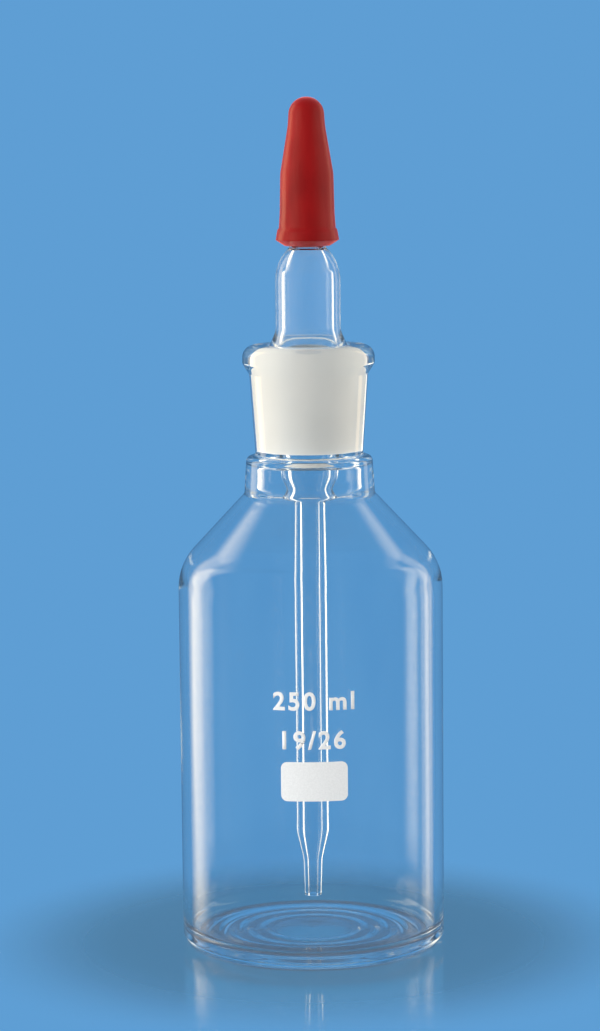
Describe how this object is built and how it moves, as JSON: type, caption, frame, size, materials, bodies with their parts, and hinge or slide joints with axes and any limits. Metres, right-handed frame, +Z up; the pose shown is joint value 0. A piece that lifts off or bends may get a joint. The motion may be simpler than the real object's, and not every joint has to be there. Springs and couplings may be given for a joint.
{
  "type": "dropper bottle",
  "caption": "Clear glass dropper bottle with a sloping shoulder, a ground socket neck, a pipette stopper that lifts out, and a red rubber teat.",
  "frame": {"origin": "middle of the ring that the bottle stands on, on the table", "axes": "+Z up along the common axis of the bottle, the stopper and the teat; the printed marks face -Y"},
  "size_m": [0.064, 0.064, 0.2051],
  "materials": {
    "clear_glass": "clear borosilicate glass, fire polished, with a finely ground socket in the neck",
    "stopper_glass": "clear borosilicate glass with a finely ground white cone",
    "red_rubber": "moulded natural rubber, satin, with a faint pale bloom",
    "white_enamel": "fired white enamel marks on the outside of the glass"
  },
  "bodies": {
    "bottle": {"bottle": "clear_glass"},
    "stopper": {"pipette_stopper": "stopper_glass"},
    "teat": {"rubber_teat": "red_rubber"}
  },
  "joints": [
    {"name": "stopper_lift", "type": "slide", "parent": "bottle", "child": "stopper", "axis": [0, 0, 1], "range_m": [0, 0.15]},
    {"name": "teat_pull", "type": "slide", "parent": "stopper", "child": "teat", "axis": [0, 0, 1], "range_m": [0, 0.022]}
  ]
}
